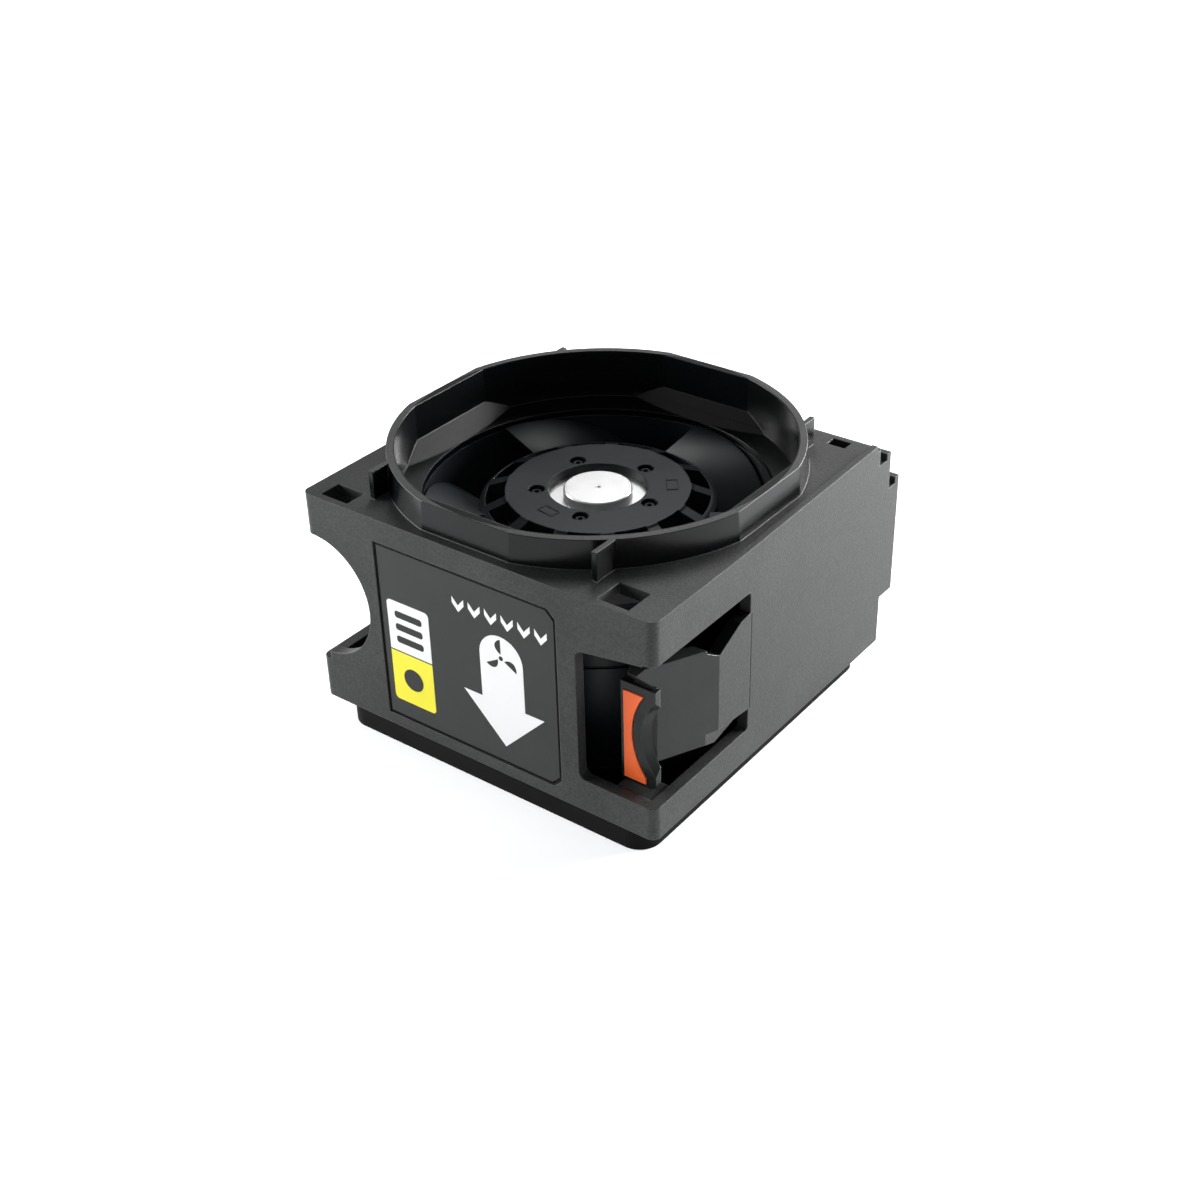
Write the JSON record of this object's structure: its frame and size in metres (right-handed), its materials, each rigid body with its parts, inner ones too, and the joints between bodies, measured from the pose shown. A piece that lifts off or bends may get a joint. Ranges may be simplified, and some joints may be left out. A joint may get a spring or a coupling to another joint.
{
  "type": "server fan module",
  "caption": "Hot-plug axial fan in a box-shaped carrier with a flatted inlet collar, spring release latch, finger recess and blind-mate plug on the stepped back",
  "frame": {"origin": "on the fan axis, in the plane of the outlet foot", "axes": "+Z along the fan axis from outlet to inlet, -Y out of the labelled face, +X towards the latch side, +Y towards the plug side"},
  "size_m": [0.07, 0.0752, 0.0496],
  "materials": {
    "carrier_plastic": "fine moulded grain, near-black",
    "latch_plastic": "satin near-black",
    "pad_plastic": "satin orange",
    "label_film": "printed film, matt",
    "duct_plastic": "glass-filled, matt black",
    "impeller_plastic": "satin black",
    "cover_plastic": "matt black",
    "zinc_steel": "zinc plated, dark inside the hub",
    "boss_metal": "turned and bright",
    "ferrite": "bonded ferrite, matt",
    "shaft_steel": "ground",
    "bearing_steel": "polished",
    "tube_brass": "turned",
    "core_steel": "laminated",
    "spool_plastic": "natural nylon",
    "copper_wire": "enamelled copper",
    "board_laminate": "solder mask",
    "chip_plastic": "moulded",
    "screw_steel": "black zinc",
    "plug_plastic": "moulded",
    "contact_metal": "gold plated"
  },
  "bodies": {
    "chassis": {"housing": "carrier_plastic", "outlet_cover": "cover_plastic", "cover_screws": "screw_steel", "fan_frame": "duct_plastic", "face_label": "label_film", "bearing_tube": "tube_brass", "lower_bearing_outer": "bearing_steel", "upper_bearing_outer": "bearing_steel", "stator_core": "core_steel", "lower_insulator": "spool_plastic", "upper_insulator": "spool_plastic", "windings": "copper_wire", "motor_board": "board_laminate", "board_components": "chip_plastic", "plug_body": "plug_plastic", "plug_contacts": "contact_metal"},
    "rotor": {"impeller": "impeller_plastic", "rotor_yoke": "zinc_steel", "rotor_boss": "boss_metal", "rotor_magnet": "ferrite", "shaft": "shaft_steel", "shaft_clip": "shaft_steel", "preload_spring": "shaft_steel", "lower_bearing_inner": "bearing_steel", "upper_bearing_inner": "bearing_steel"},
    "lower_balls": {"lower_bearing_balls": "bearing_steel"},
    "upper_balls": {"upper_bearing_balls": "bearing_steel"},
    "latch": {"release_latch": "latch_plastic", "touch_pad": "pad_plastic"}
  },
  "joints": [
    {"name": "impeller_spin", "type": "hinge", "parent": "chassis", "child": "rotor", "pos_m": [0, 0, 0.02], "axis": [0, 0, 1], "continuous": true},
    {"name": "lower_balls_spin", "type": "hinge", "parent": "chassis", "child": "lower_balls", "pos_m": [0, 0, 0.013], "axis": [0, 0, 1], "continuous": true},
    {"name": "upper_balls_spin", "type": "hinge", "parent": "chassis", "child": "upper_balls", "pos_m": [0, 0, 0.0276], "axis": [0, 0, 1], "continuous": true},
    {"name": "latch_flex", "type": "hinge", "parent": "chassis", "child": "latch", "pos_m": [0.0356, -0.00965, 0.024], "axis": [0, 0, -1], "range_deg": [0, 7], "stiffness_Nm_per_rad": 2.2}
  ],
  "couplings": [
    {"joint": "lower_balls_spin", "follows": "impeller_spin", "ratio": 0.4036},
    {"joint": "upper_balls_spin", "follows": "impeller_spin", "ratio": 0.4036}
  ]
}
